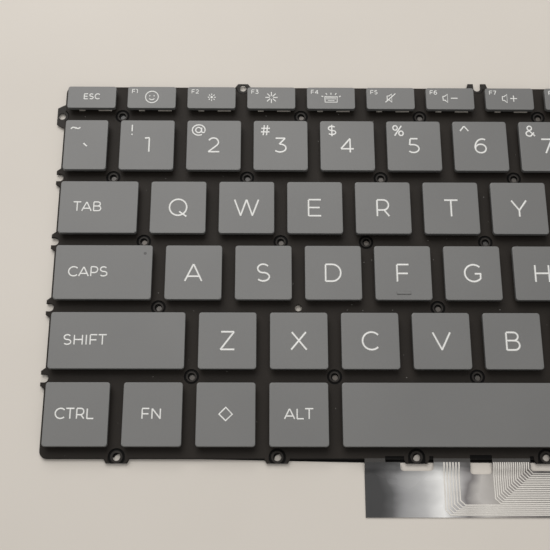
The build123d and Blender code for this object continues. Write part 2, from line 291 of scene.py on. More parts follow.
def toned(tree, shader, source, dark, pale):
    tree.links.new(ramp(tree, source, [(0.3, dark), (0.7, pale)]), shader.inputs["Base Color"])


def roughened(tree, shader, source, low, high):
    tree.links.new(greyRamp(tree, source, low, high), shader.inputs["Roughness"])


def mapRange(tree, source, low, high, clamp=True):
    node = tree.nodes.new("ShaderNodeMapRange")
    node.inputs["From Min"].default_value = low
    node.inputs["From Max"].default_value = high
    node.clamp = clamp
    tree.links.new(source, node.inputs["Value"])
    return node.outputs["Result"]


def multiplyAdd(tree, source, factor, added):
    node = tree.nodes.new("ShaderNodeMath")
    node.operation = "MULTIPLY_ADD"
    node.inputs[1].default_value = factor
    tree.links.new(source, node.inputs[0])
    tree.links.new(added, node.inputs[2])
    return node.outputs["Value"]


def mouldedPlastic(name, dark, pale, roughness, grain=0.16, height=0.012, patch=28):
    material, tree, shader = newMaterial(name, roughness)
    fine = objectNoise(tree, grain, 2.0)
    broad = objectNoise(tree, patch, 2.0)
    tone = ramp(tree, broad.outputs["Fac"], [(0.3, dark), (0.7, pale)])
    speckle = greyRamp(tree, fine.outputs["Fac"], 0.93, 1.0)
    tree.links.new(blendColours(tree, 1.0, tone, speckle, "MULTIPLY"), shader.inputs["Base Color"])
    roughened(tree, shader, fine.outputs["Fac"], roughness - 0.06, roughness + 0.06)
    bump(tree, shader, fine.outputs["Fac"], height, 0.5)
    return material


def dustyBlack(name, dark, pale, roughness, dustSpacing, grain=0.3, specular=0.5):
    material, tree, shader = newMaterial(name, roughness)
    shader.inputs["Specular IOR Level"].default_value = specular
    broad = objectNoise(tree, 22, 4.0)
    fine = objectNoise(tree, grain, 2.0)
    tone = ramp(tree, broad.outputs["Fac"], [(0.3, dark), (0.72, pale)])
    dust = flecks(tree, dustSpacing, 0.035)
    tree.links.new(blendColours(tree, dust, tone, (0.35, 0.34, 0.32, 1)), shader.inputs["Base Color"])
    roughened(tree, shader, fine.outputs["Fac"], roughness - 0.08, roughness + 0.08)
    bump(tree, shader, fine.outputs["Fac"], 0.02, 0.4)
    return material


keyGrey = mouldedPlastic("keyGrey", (0.138, 0.138, 0.136), (0.150, 0.150, 0.147), 0.46)
legendWhite = mouldedPlastic("legendWhite", (0.74, 0.74, 0.72), (0.80, 0.80, 0.78), 0.5, 0.2, 0.004)
lampDot = mouldedPlastic("lampDot", (0.02, 0.02, 0.02), (0.035, 0.035, 0.033), 0.35, 0.2, 0.004)
blackFilm = dustyBlack("blackFilm", (0.0150, 0.0121, 0.0097), (0.0200, 0.0161, 0.0129), 0.6, 3.1, 0.3, 0.16)
blackPlate = dustyBlack("blackPlate", (0.0150, 0.0126, 0.0104), (0.0200, 0.0168, 0.0140), 0.6, 9.0, 0.15, 0.25)
# near-black painted shade for the grooves round the rings, the plate's side walls, the floors under the film's
# notches, the sleeves in the stake holes and the lip under the plate's edge
paintedShadeBlack = dustyBlack("paintedShadeBlack", (0.0022, 0.0020, 0.0019), (0.0040, 0.0037, 0.0034), 0.7, 9.0, 0.15, 0.1)
bossBlack = dustyBlack("bossBlack", (0.0160, 0.0134, 0.0112), (0.0210, 0.0176, 0.0148), 0.55, 9.0, 0.15, 0.2)
darkLink = mouldedPlastic("darkLink", (0.022, 0.022, 0.022), (0.035, 0.034, 0.033), 0.4)
paleLink = mouldedPlastic("paleLink", (0.72, 0.67, 0.59), (0.82, 0.77, 0.69), 0.45)
domeRubber = mouldedPlastic("domeRubber", (0.50, 0.49, 0.46), (0.58, 0.57, 0.54), 0.6)
# the light guide is made dark and patchy as painted shade for the holes it is seen through
shadedGuideSheet = mouldedPlastic("shadedGuideSheet", (0.010, 0.009, 0.008), (0.12, 0.10, 0.082), 0.4, 0.5, 0.003, 16)
shieldFilm = dustyBlack("shieldFilm", (0.010, 0.010, 0.010), (0.016, 0.016, 0.016), 0.55, 5.0)
stiffenerBlue = mouldedPlastic("stiffenerBlue", (0.04, 0.11, 0.30), (0.06, 0.14, 0.36), 0.35, 0.3, 0.004)


def wireSteel():
    material, tree, shader = newMaterial("barSteel", 0.3, 1.0)
    brushed = objectNoise(tree, 0.5, 2.0, (0.1, 1, 1))
    toned(tree, shader, brushed.outputs["Fac"], (0.38, 0.38, 0.38), (0.52, 0.52, 0.51))
    roughened(tree, shader, brushed.outputs["Fac"], 0.24, 0.4)
    bump(tree, shader, brushed.outputs["Fac"], 0.01, 0.3)
    return material


def tailGloss():
    material, tree, shader = newMaterial("tailGloss", 0.2)
    place = tree.nodes.new("ShaderNodeTexCoord")
    split = tree.nodes.new("ShaderNodeSeparateXYZ")
    tree.links.new(place.outputs["Object"], split.inputs["Vector"])
    waves = objectNoise(tree, 9.0, 2.0, (1, 1.4, 1))
    wander = multiplyAdd(tree, waves.outputs["Fac"], 0.006, split.outputs["X"])  # borders of the print and of the painted glare aren't straight
    # tone across the tail, partly print and partly painted reflection of the lamp
    printAndGlareTone = ramp(tree, mapRange(tree, wander, -0.047, -0.002),
                     [(0.02, (0.016, 0.016, 0.017)), (0.08, (0.06, 0.06, 0.062)), (0.16, (0.24, 0.24, 0.245)),
                      (0.27, (0.42, 0.42, 0.42)), (0.39, (0.76, 0.76, 0.75)), (0.48, (0.34, 0.33, 0.33)),
                      (0.52, (0.15, 0.14, 0.14)), (0.60, (0.44, 0.42, 0.40)), (0.68, (0.34, 0.32, 0.30)),
                      (0.80, (0.22, 0.20, 0.19)), (0.95, (0.10, 0.095, 0.09))])
    glareFall = mapRange(tree, split.outputs["Y"], -0.0385, -0.0425, False)  # painted reflection, paler away from the plate, in patches
    glarePatches = multiplyAdd(tree, objectNoise(tree, 5.0, 2.0).outputs["Fac"], 0.9, glareFall)
    printAndGlareTone = blendColours(tree, 1.0, printAndGlareTone, greyRamp(tree, glarePatches, 0.3, 1.0, 0.6, 1.0), "MULTIPLY")
    strip = mapRange(tree, split.outputs["Y"], -0.03858, -0.03822)  # plain black beside the plate, where the painted reflection stops
    printAndGlareTone = blendColours(tree, strip, printAndGlareTone, (0.020, 0.0175, 0.015, 1))
    tree.links.new(printAndGlareTone, shader.inputs["Base Color"])
    roughened(tree, shader, waves.outputs["Fac"], 0.14, 0.3)
    bump(tree, shader, waves.outputs["Fac"], 0.3, 0.3)
    return material


def silverInk():
    material, tree, shader = newMaterial("silverInk", 0.4)
    grain = objectNoise(tree, 0.12, 3.0)
    toned(tree, shader, grain.outputs["Fac"], (0.68, 0.65, 0.60), (0.80, 0.77, 0.72))
    bump(tree, shader, grain.outputs["Fac"], 0.01, 0.4)
    return material


barSteel = wireSteel()
filmGloss = tailGloss()
trackSilver = silverInk()
print("materials ready:", len(bpy.data.materials))

# the key layout, in millimetres from the left end and the front edge of the key block

layout = dict(
    pitch=18.7, gap=3.54, graveWidth=11.96, backspaceWidth=28.8, ctrlWidth=16.5, frontDepth=16.4,
    functionDepth=6.8, functionGap=3.3, functionRowGap=3.84, halfGap=1.2,
    originX=134.35, originY=34.895)
keySize = layout["pitch"] - layout["gap"]
blockWidth = layout["graveWidth"] + layout["gap"] + 12 * layout["pitch"] + layout["backspaceWidth"]
functionWidth = (blockWidth - 15 * layout["functionGap"]) / 16
shiftRowY = layout["frontDepth"] + layout["gap"]
homeRowY, upperRowY, numberRowY = (shiftRowY + step * layout["pitch"] for step in (1, 2, 3))
functionRowY = numberRowY + keySize + layout["functionRowGap"]
keys = {}  # name: left, front, width, depth


def keyRun(names, x, y, width, gap, depth):
    for name in names:
        keys[name] = (x, y, width, depth)
        x += width + gap
    return x


def letteredRow(first, firstWidth, names, last, y):
    keys[first] = (0, y, firstWidth, keySize)
    x = keyRun(names, firstWidth + layout["gap"], y, keySize, layout["gap"], keySize)
    keys[last] = (x, y, blockWidth - x, keySize)


def frontRow():
    gap, depth = layout["gap"], layout["frontDepth"]
    keys["ctrl_left"] = (0, 0, layout["ctrlWidth"], depth)
    x = keyRun(("fn", "meta", "alt_left"), layout["ctrlWidth"] + gap, 0, keySize, gap, depth)
    keys["space"] = (x, 0, 4 * layout["pitch"] + keySize, depth)
    x += 5 * layout["pitch"]
    x = keyRun(("alt_right", "ctrl_right"), x, 0, keySize, gap, depth)
    arrow = (blockWidth - x - 2 * gap) / 3
    half = (depth - layout["halfGap"]) / 2
    keys["left"] = (x, 0, arrow, depth)
    keys["down"] = (x + arrow + gap, 0, arrow, half)
    keys["up"] = (x + arrow + gap, half + layout["halfGap"], arrow, half)
    keys["right"] = (x + 2 * (arrow + gap), 0, arrow, depth)


tabWidth = layout["graveWidth"] + layout["pitch"] / 2
capsWidth = tabWidth + layout["pitch"] / 4
shiftWidth = capsWidth + layout["pitch"] / 2
keyRun("esc f1 f2 f3 f4 f5 f6 f7 f8 f9 f10 f11 f12 print delete power".split(), 0, functionRowY,
       functionWidth, layout["functionGap"], layout["functionDepth"])
letteredRow("grave", layout["graveWidth"], "1 2 3 4 5 6 7 8 9 0 minus equals".split(), "backspace", numberRowY)
letteredRow("tab", tabWidth, "q w e r t y u i o p bracket_open bracket_close".split(), "backslash", upperRowY)
letteredRow("caps", capsWidth, "a s d f g h j k l semicolon quote".split(), "enter", homeRowY)
letteredRow("shift_left", shiftWidth, "z x c v b n m comma period slash".split(), "shift_right", shiftRowY)
frontRow()
travelling = [name for name in keys if f"keycap_{name}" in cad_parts]


def keyCentre(name):  # in the part's frame
    x, y, width, depth = keys[name]
    return x + width / 2 - layout["originX"], y + depth / 2 - layout["originY"]


for name in travelling:  # the layout has to agree with the solids
    low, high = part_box(f"keycap_{name}")
    across, along = keyCentre(name)
    assert abs((low[0] + high[0]) / 2 / mm - across) < 0.05 and abs((low[1] + high[1]) / 2 / mm - along) < 0.05
print("layout:", len(keys), "keys,", len(travelling), "of them travel")

# lettering drawn as strokes, in boxes one unit tall


def arc(x, y, across, up, start, end, steps=14):
    points = []
    for step in range(steps + 1):
        angle = math.radians(start + (end - start) * step / steps)
        points.append((x + across * math.cos(angle), y + up * math.sin(angle)))
    return points


def ring(x, y, across, up, steps=24):
    return arc(x, y, across, up, 0, 360, steps)


def bowl(x, y, across, up):
    return [(0, y + up), (x, y + up)] + arc(x, y, across, up, 90, -90) + [(0, y - up)]


def spot(x, y, size=0.02):
    return [(x - size, y), (x + size, y)]


def lines(text):  # straight strokes, with a semicolon between them
    return [[tuple(map(float, point.split(","))) for point in stroke.split()] for stroke in text.split(";")]


sShape = arc(0.34, 0.745, 0.31, 0.255, 34, 262) + arc(0.34, 0.25, 0.35, 0.25, 82, -146)
glyphs = {  # width, then the middle lines of the strokes
    "A": (0.94, lines("0,0 0.47,1; 0.47,1 0.94,0; 0.14,0.27 0.8,0.27")),
    "B": (0.72, [[(0, 0), (0, 1)], bowl(0.4, 0.765, 0.25, 0.235),
                 [(0.4, 0.53)] + arc(0.44, 0.265, 0.28, 0.265, 90, -90) + [(0, 0)]]),
    "C": (0.86, [arc(0.5, 0.5, 0.5, 0.5, 44, 316, 22)]),
    "D": (0.86, [[(0, 0), (0, 1)], bowl(0.37, 0.5, 0.49, 0.5)]),
    "E": (0.72, lines("0,0 0,1; 0,1 0.71,1; 0,0.51 0.64,0.51; 0,0 0.72,0")),
    "F": (0.66, lines("0,0 0,1; 0,1 0.66,1; 0,0.47 0.6,0.47")),
    "G": (0.9, [arc(0.5, 0.5, 0.5, 0.5, 46, 322, 22) + [(0.894, 0.46)], [(0.56, 0.46), (0.93, 0.46)]]),
    "H": (0.78, lines("0,0 0,1; 0.78,0 0.78,1; 0,0.5 0.78,0.5")),
    "I": (0, lines("0,0 0,1")),
    "J": (0.46, [[(0.46, 1), (0.46, 0.3)] + arc(0.2, 0.28, 0.26, 0.28, 0, -148)]),
    "K": (0.72, lines("0,0 0,1; 0,0.32 0.68,1; 0.26,0.57 0.72,0")),
    "L": (0.62, lines("0,1 0,0; 0,0 0.62,0")),
    "M": (0.96, lines("0,0 0,1; 0,1 0.48,0.3; 0.48,0.3 0.96,1; 0.96,1 0.96,0")),
    "N": (0.78, lines("0,0 0,1; 0,1 0.78,0; 0.78,0 0.78,1")),
    "O": (1.0, [ring(0.5, 0.5, 0.5, 0.5)]),
    "P": (0.66, [[(0, 0), (0, 1)], bowl(0.36, 0.685, 0.3, 0.315)]),
    "Q": (1.0, [ring(0.5, 0.5, 0.5, 0.5), [(0.56, 0.24), (0.98, -0.06)]]),
    "R": (0.68, [[(0, 0), (0, 1)], bowl(0.36, 0.685, 0.3, 0.315), [(0.4, 0.37), (0.68, 0)]]),
    "S": (0.7, [sShape]),
    "T": (0.78, lines("0,1 0.78,1; 0.39,1 0.39,0")),
    "U": (0.76, [[(0, 1), (0, 0.38)] + arc(0.38, 0.38, 0.38, 0.38, 180, 360) + [(0.76, 1)]]),
    "V": (0.98, lines("0,1 0.49,0; 0.49,0 0.98,1")),
    "W": (1.4, lines("0,1 0.36,0; 0.36,0 0.7,1; 0.7,1 1.04,0; 1.04,0 1.4,1")),
    "X": (0.84, lines("0,0 0.82,1; 0.02,1 0.84,0")),
    "Y": (0.88, lines("0,1 0.44,0.38; 0.88,1 0.44,0.38; 0.44,0.4 0.44,0")),
    "Z": (0.74, lines("0.02,1 0.74,1; 0.74,1 0,0; 0,0 0.76,0")),
    "0": (0.74, [ring(0.37, 0.5, 0.37, 0.5)]),
    "1": (0.28, lines("0,0.97 0.28,1; 0.28,1 0.28,0")),
    "2": (0.66, [arc(0.31, 0.69, 0.31, 0.31, 152, -40) + [(0, 0)], [(0, 0), (0.68, 0)]]),
    "3": (0.66, [[(0.02, 1), (0.62, 1)], [(0.62, 1), (0.26, 0.58)],
                 [(0.26, 0.58)] + arc(0.29, 0.285, 0.38, 0.285, 90, -142)]),
    "4": (0.78, lines("0.57,1 0,0.26; 0,0.25 0.78,0.25; 0.57,1 0.57,0")),
    "5": (0.64, [[(0.56, 1), (0.1, 1)], [(0.1, 1), (0.06, 0.56)],
                 [(0.06, 0.57), (0.28, 0.57)] + arc(0.28, 0.285, 0.35, 0.285, 90, -142)]),
    "6": (0.68, [ring(0.35, 0.31, 0.33, 0.31), arc(0.46, 0.36, 0.46, 0.64, 184, 66)]),
    "7": (0.66, lines("0,1 0.66,1; 0.66,1 0.24,0")),
    "8": (0.66, [ring(0.33, 0.76, 0.27, 0.24), ring(0.33, 0.265, 0.33, 0.265)]),
    "9": (0.68, [ring(0.33, 0.69, 0.33, 0.31), arc(0.22, 0.64, 0.46, 0.64, 4, -114)]),
    "~": (0.8, [arc(0.2, 0.4, 0.2, 0.16, 180, 20, 8) + arc(0.6, 0.6, 0.2, 0.16, 200, 360, 8)]),
    "!": (0.06, [[(0.03, 1), (0.03, 0.34)], spot(0.03, 0.02, 0.06)]),
    "@": (1.15, [arc(0.575, 0.48, 0.575, 0.52, -12, 302, 26), ring(0.56, 0.48, 0.26, 0.26),
                 [(0.84, 0.74), (0.84, 0.36)] + arc(0.99, 0.36, 0.15, 0.14, 180, 350, 6)]),
    "#": (0.8, lines("0.22,0 0.32,1; 0.52,0 0.62,1; 0.04,0.68 0.82,0.68; 0,0.32 0.78,0.32")),
    "$": (0.64, [[(x, 0.08 + 0.84 * y) for x, y in sShape], [(0.34, -0.08), (0.34, 1.08)]]),
    "%": (0.9, [ring(0.2, 0.77, 0.2, 0.23, 16), ring(0.72, 0.23, 0.2, 0.23, 16), [(0.14, 0), (0.78, 1)]]),
    "^": (0.74, lines("0,0.5 0.37,0.98; 0.37,0.98 0.74,0.5")),
    "&": (0.8, [arc(0.33, 0.79, 0.2, 0.21, -60, 230, 14) + [(0.78, 0.02)],
                [(0.42, 0.62)] + arc(0.29, 0.25, 0.29, 0.25, 120, 300, 12) + [(0.72, 0.38)]]),
    "*": (0.6, lines("0.3,1 0.3,0.5; 0.08,0.88 0.52,0.62; 0.08,0.62 0.52,0.88")),
    "(": (0.2, [arc(0.5, 0.5, 0.5, 0.62, 128, 232, 10)]),
    "-": (0.44, lines("0,0.42 0.44,0.42")),
    "_": (0.6, lines("0,0 0.6,0")),
    "=": (0.6, lines("0,0.6 0.6,0.6; 0,0.3 0.6,0.3")),
    "+": (0.6, lines("0,0.45 0.6,0.45; 0.3,0.15 0.3,0.75")),
    "[": (0.22, lines("0.22,1 0,1; 0,1 0,-0.1; 0,-0.1 0.22,-0.1")),
    "{": (0.3, lines("0.3,1 0.15,0.95 0.15,0.55 0,0.45 0.15,0.35 0.15,-0.05 0.3,-0.1")),
    "/": (0.5, lines("0.5,1 0,-0.05")),
    "|": (0.04, lines("0,1.05 0,-0.1")),
    ";": (0.1, [spot(0.05, 0.6, 0.05), [(0.06, 0.05), (0, -0.16)]]),
    ":": (0.1, [spot(0.05, 0.6, 0.05), spot(0.05, 0.05, 0.05)]),
    "'": (0.05, lines("0,1 0,0.7")),
    '"': (0.3, lines("0,1 0,0.7; 0.26,1 0.26,0.7")),
    ",": (0.1, lines("0.08,0.06 0,-0.16")),
    ".": (0.1, [spot(0.05, 0.02, 0.05)]),
    "<": (0.6, lines("0.6,0.8 0,0.45; 0,0.45 0.6,0.1")),
    "?": (0.56, [arc(0.27, 0.73, 0.27, 0.27, 150, -55) + [(0.27, 0.42), (0.27, 0.3)], spot(0.27, 0.02, 0.05)]),
}
for left, right in ("()", "[]", "{}", "<>", "/\\"):  # mirror images
    width, strokes = glyphs[left]
    glyphs[right] = (width, [[(width - x, y) for x, y in stroke] for stroke in strokes])


def rays(inner, outer, count, start=0):
    lines = []
    for step in range(count):
        angle = math.radians(start + 360 * step / count)
        x, y = math.cos(angle), math.sin(angle)
        lines.append([(inner * x, inner * y), (outer * x, outer * y)])
    return lines


speaker = [[(-1.3, 0.6), (-0.8, 0.6), (0.0, 1.3), (0.0, -1.3), (-0.8, -0.6), (-1.3, -0.6), (-1.3, 0.6)]]
triangle = [(-0.6, 0.75), (0.7, 0), (-0.6, -0.75), (-0.6, 0.75)]
icons = {  # middle lines in millimetres round the icon's own middle
    "smile": [ring(0, 0, 1.82, 1.82, 28), arc(0, 0.0, 0.85, 0.9, 212, 328, 10), [(-0.6, 0.2), (-0.6, 0.6)],
              [(0.6, 0.2), (0.6, 0.6)]],
    "sunSmall": [ring(0, 0, 0.22, 0.22, 12), spot(0, 0, 0.1)] + rays(0.66, 1.15, 8),
    "sunLarge": rays(0.5, 1.75, 8),
    "keyLight": lines("-1.75,0.35 1.75,0.35 1.75,-1.4 -1.75,-1.4 -1.75,0.35; 0,1 0,1.6; -1.2,0.95 -1.5,1.5; "
                      "1.2,0.95 1.5,1.5; -2.25,0.3 -2.75,0.55; 2.25,0.3 2.75,0.55"),
    "keyRows": lines("-1.5,0 1.5,0; -1.5,-0.38 1.5,-0.38; -0.95,-0.85 0.95,-0.85"),
    "mute": [[(x + 0.3, y) for x, y in line] for line in speaker] + [[(-1.5, -1.35), (1.4, 1.4)]],
    "quieter": [[(x - 0.75, y) for x, y in line] for line in speaker] + [[(0.2, 0), (2.1, 0)]],
    "louder": [[(x - 0.75, y) for x, y in line] for line in speaker] + [[(0.2, 0), (2.1, 0)],
                                                                       [(1.15, 0.95), (1.15, -0.95)]],
    "microphone": [arc(0, 0.6, 0.42, 0.6, 0, 180, 8) + [(-0.42, 0)] + arc(0, 0, 0.42, 0.45, 180, 360, 8)
                   + [(0.42, 0.6)], arc(0, -0.1, 0.85, 0.85, 190, 350, 10), [(0, -0.95), (0, -1.4)]],
    "play": [triangle, [(1.1, 0.75), (1.1, -0.75)]],
    "back": [[(-x, y) for x, y in triangle], [(-1.1, 0.75), (-1.1, -0.75)]],
    "display": [[(-1.5, 1), (1.5, 1), (1.5, -0.7), (-1.5, -0.7), (-1.5, 1)], [(-0.6, -1.2), (0.6, -1.2)]],
    "lock": [[(-0.8, 0.2), (0.8, 0.2), (0.8, -1.1), (-0.8, -1.1), (-0.8, 0.2)], arc(0, 0.3, 0.5, 0.8, 0, 180, 10)],
    "power": [arc(0, 0, 1.1, 1.1, 120, 420, 20), [(0, 0.3), (0, 1.4)]],
    "diamond": lines("0,1.7 1.7,0 0,-1.7 -1.7,0 0,1.7"),
    "left": lines("0.8,1 -0.7,0; -0.7,0 0.8,-1"),
    "right": lines("-0.8,1 0.7,0; 0.7,0 -0.8,-1"),
    "up": lines("-1,-0.6 0,0.6; 0,0.6 1,-0.6"),
    "down": lines("-1,0.6 0,-0.6; 0,-0.6 1,0.6"),
}

legendStyle = dict(
    letter=dict(tall=5.4, line=0.68, space=0.4), digit=dict(tall=4.9, line=0.66, space=0.3, wide=1.06),
    shifted=dict(tall=3.65, line=0.56, space=0.3), word=dict(tall=3.08, line=0.5, space=-0.04, wide=1.04),
    escape=dict(tall=2.05, line=0.45, space=-0.08, wide=0.92), label=dict(tall=1.45, line=0.3, space=0.06),
    iconLine=0.42, fineLine=0.24, markLine=0.6, iconPlace=(0.05, 0.1), escapeUp=0.2,
    wordIn=3.55, wordUp=0.1, wordShift=dict(ctrl_left=-0.4, fn=-0.25), letterUp=-0.12, labelIn=(1.1, 0.75),
    shiftedMiddle=(3.27, 2.95), tildeMiddle=(2.9, 2.5), graveMark=[[(-0.65, 0.4), (0.35, -0.55)]], graveLine=0.62,
    room=0.11, rise=0.02)
shiftedMarks = dict(zip("1234567890", "!@#$%^&*()"))
pairedMarks = dict(minus="-_", equals="=+", bracket_open="[{", bracket_close="]}", backslash="\\|",
                   semicolon=";:", quote="'\"", comma=",<", period=".>", slash="/?")
functionIcons = dict(f1="smile", f2="sunSmall", f3="sunLarge", f4="keyLight", f5="mute", f6="quieter", f7="louder",
                     f8="microphone", f9="back", f10="play", f11="display", f12="lock", power="power")
markIcons = dict(meta="diamond", left="left", right="right", up="up", down="down")
words = dict(tab="TAB", caps="CAPS", shift_left="SHIFT", enter="ENTER", shift_right="SHIFT", backspace="DELETE")
middleWords = dict(ctrl_left="CTRL", fn="FN", alt_left="ALT", alt_right="ALT", ctrl_right="CTRL")
smallWords = dict(esc="ESC", print="PRT", delete="INS")
sideRoom = dict(  # left and right of each letter
    A=(-0.25, -0.25), B=(1, 0.5), C=(0.5, 0.2), D=(1, 0.5), E=(1, 0.2), F=(1, 0), H=(1, 1), I=(1, 1), L=(1, 0),
    N=(1, 1), P=(1, 0.3), R=(1, 0.2), S=(0.4, 0.4), T=(-0.35, -0.35))


def roomBetween(before, after):  # stems stand further apart than slants and rounds
    return legendStyle["room"] * (sideRoom.get(before, (0, 0))[1] + sideRoom.get(after, (0, 0))[0])


def written(text, style):  # strokes of a word with its lower left corner at the origin, and its width
    scale = style["tall"] - style["line"]
    wide = scale * style.get("wide", 1)
    half = style["line"] / 2
    x, strokes = 0.0, []
    for letter, following in zip(text, text[1:] + " "):
        width, lines = glyphs[letter]
        for line in lines:
            strokes.append([(x + half + a * wide, half + b * scale) for a, b in line])
        x += width * wide + style["line"]
        right = x
        x += style["space"] + scale * roomBetween(letter, following)
    return strokes, right


def placed(strokes, x, y, line):
    return [([(a + x, b + y) for a, b in stroke], line) for stroke in strokes]


def centredWord(text, style, x=0.0, y=0.0):
    strokes, width = written(text, style)
    return placed(strokes, x - width / 2, y - style["tall"] / 2, style["line"])


def legendOf(name):  # strokes round the key's middle
    width, depth = keys[name][2:]
    style = legendStyle
    if name in functionIcons:
        legend = placed(icons[functionIcons[name]], *style["iconPlace"], style["iconLine"])
        if name == "f4":
            legend += placed(icons["keyRows"], *style["iconPlace"], style["fineLine"])
        if name != "power":
            label = style["label"]
            right, down = style["labelIn"]
            legend += placed(written(name.upper(), label)[0], right - width / 2, depth / 2 - down - label["tall"],
                             label["line"])
        return legend
    if name in smallWords:
        return centredWord(smallWords[name], style["escape"], 0, style["escapeUp"])
    if name in words:
        word = style["word"]
        return placed(written(words[name], word)[0], style["wordIn"] - width / 2, style["wordUp"] - word["tall"] / 2,
                      word["line"])
    if name in middleWords:
        return centredWord(middleWords[name], style["word"], style["wordShift"].get(name, 0), style["wordUp"])
    if name in markIcons:
        return placed(icons[markIcons[name]], 0, 0, style["markLine"])
    right, down = style["shiftedMiddle"]
    upperPlace = (right - width / 2, depth / 2 - down)
    if name in shiftedMarks:
        return centredWord(shiftedMarks[name], style["shifted"], *upperPlace) + centredWord(name, style["digit"])
    if name == "grave":
        right, down = style["tildeMiddle"]
        tilde = centredWord("~", style["shifted"], right - width / 2, depth / 2 - down)
        return tilde + placed(style["graveMark"], 0, 0, style["graveLine"])
    if name in pairedMarks:
        lower, upper = pairedMarks[name]
        return centredWord(upper, style["shifted"], *upperPlace) + centredWord(lower, style["digit"])
    if len(name) == 1:
        return centredWord(name.upper(), style["letter"], 0, style["letterUp"])
    return []


def inkFrom(name, strokes, top):  # a curve with one spline for each stroke, made a nearly flat mesh
    curve = strokeCurve(name)
    curve.bevel_depth = 0.5 * mm
    curve.bevel_resolution = 0
    for points, line in strokes:
        closed = len(points) > 3 and math.dist(points[0], points[-1]) < 1e-6
        if closed:
            points = points[:-1]
        for point in addLine(curve, [(x, y, 0) for x, y in points], closed).points:
            point.radius = line
    obj = asMesh(name, curve)
    obj.scale = (1, 1, legendStyle["rise"] / 0.25)
    obj.location = (0, 0, top * mm)
    settle()
    coat(obj, legendWhite)
    return obj


# keycaps

capLook = dict(
    under=2.8, top=4.0, corner=0.7, cornerSteps=4, edge=0.13, edgeSteps=2, wall=0.8, hollow=0.4,
    dishIn=0.45, dish=0.03, dishFrom=10, homing=(3.8, 0.8, 0.22), homingIn=1.5, homingEdge=0.15,
    lampSize=0.42, lampIn=(2.0, 2.3), lampSpan=(3.7, 3.985))
capMasters = {}


def shapeCap(width, depth):
    look = capLook
    cap = block("capMaster", (-width / 2, -depth / 2, look["under"]), (width / 2, depth / 2, look["top"]))
    roundEdges(cap, look["corner"], look["cornerSteps"], lambda a, b: abs(a.z - b.z) > 0.1)
    roundEdges(cap, look["edge"], look["edgeSteps"], lambda a, b: min(a.z, b.z) > look["top"] - 0.01)
    if min(width, depth) > look["dishFrom"]:
        pick(cap, "FACE", lambda middle, normal: normal.z > 0.99 and middle.z > look["top"] - 0.01)
        bpy.ops.mesh.inset(thickness=look["dishIn"] * mm)
        bpy.ops.transform.translate(value=(0, 0, -look["dish"] * mm))
        leaveEdit()
    pick(cap, "FACE", lambda middle, normal: normal.z < -0.99)
    bpy.ops.mesh.inset(thickness=look["wall"] * mm)
    push(0, 0, look["hollow"])
    leaveEdit()
    softenNormals(cap)
    coat(cap, keyGrey)
    return cap


def homingBar(depth):
    width, long, rise = capLook["homing"]
    y = capLook["homingIn"] - depth / 2
    top = capLook["top"]
    bar = block("homingBar", (-width / 2, y, top - 0.2), (width / 2, y + long, top + rise))
    roundEdges(bar, capLook["homingEdge"], 2, lambda a, b: min(a.z, b.z) > top)
    softenNormals(bar)
    coat(bar, keyGrey)
    return bar


def lampMark(width, depth):
    right, down = capLook["lampIn"]
    place = (width / 2 - right, depth / 2 - down)
    lamp = peg("lampMark", place, capLook["lampSize"], *capLook["lampSpan"], 16)
    coat(lamp, lampDot)
    return lamp


def buildCap(name):
    width, depth = keys[name][2:]
    size = (round(width, 3), round(depth, 3))
    if size not in capMasters:
        capMasters[size] = shapeCap(width, depth)
    cap = copyOf(capMasters[size], "keycap", 0, 0)
    parts = [cap]
    strokes = legendOf(name)
    if strokes:
        surface = capLook["top"] - (capLook["dish"] if min(width, depth) > capLook["dishFrom"] else 0)
        parts.append(inkFrom("ink", strokes, surface))
    if name in ("f", "j"):
        parts.append(homingBar(depth))
    if name == "caps":
        parts.append(lampMark(width, depth))
    cap = joined(f"cap.{name}", parts)
    across, along = keyCentre(name)
    cap.data.transform(Matrix.Translation((across * mm, along * mm, 0)))
    return cap


fixedCaps = []
for name in keys:
    cap = buildCap(name)
    if name in travelling:
        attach(cap, f"key_{name}")
        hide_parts(f"keycap_{name}")
    else:
        fixedCaps.append(cap)
fixedCaps = joined("caps.rightSide", fixedCaps)
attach(fixedCaps, "base")
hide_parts("right_side_keycaps")
for master in capMasters.values():
    bpy.data.objects.remove(master)
print("keycaps built:", len(travelling), "that travel and one group")

# links, domes and bars under the caps

scissorLook = dict(
    floor=1.2, ceiling=3.2, seat=0.05, thick=0.5, arm=0.9, endGap=1.3, flankGap=1.1, sideGap=0.2, shortArm=0.6,
    shortEndGap=1.3, shortFlankGap=0.3, domeBase=2.2, domeTop=1.2, shortDomeBase=0.9, shortDomeTop=0.6,
    twinGap=0.5, barThick=0.6, barArm=3.2, barFlankGap=0.4, barRearGap=0.1, pin=0.3,
    pinPast=0.1, linkEdge=0.08, domeRim=0.35, domeDip=0.25, domeEdge=0.12, barEdge=0.18,
    hookHigh=1.65, hookIn=(0.48, 1.3), hookHalf=0.6, hookEdge=0.12)
shortHooks = ((0.22, 0.34), (0.62, 0.90))  # shares of the key's width
wideHooks = dict(  # millimetres from the key's left side
    tab=(3.0, 18.4), caps=(3.8, 10.9, 22.8), shift_left=(3.6, 15.5, 22.5, 33.0))
scissorMasters = {}


def bentLink(length, width, arm, material, turn):  # U-shaped, its closed end is the high one
    look = scissorLook
    rise = look["ceiling"] - look["floor"] - 2 * look["seat"] - look["thick"]
    low = look["floor"] + look["seat"]
    bar = block("link", (-width / 2, length / 2 - arm, low), (width / 2, length / 2, low + look["thick"]))
    cutNearEnds(bar, width / 2 - arm)
    pick(bar, "FACE", lambda middle, normal: normal.y < -0.9 and abs(middle.x) > width / 2 - arm)
    push(0, arm - length, 0)
    leaveEdit()
    for vert in bar.data.vertices:  # tilted by its height, so both ends stay flat
        vert.co.z += rise * mm * (vert.co.y / mm + length / 2) / length
    roundEdges(bar, look["linkEdge"], 2, lambda a, b: abs(a.y - b.y) > length / 2)
    coat(bar, material)
    return setDown(bar, 0, 0, turn)


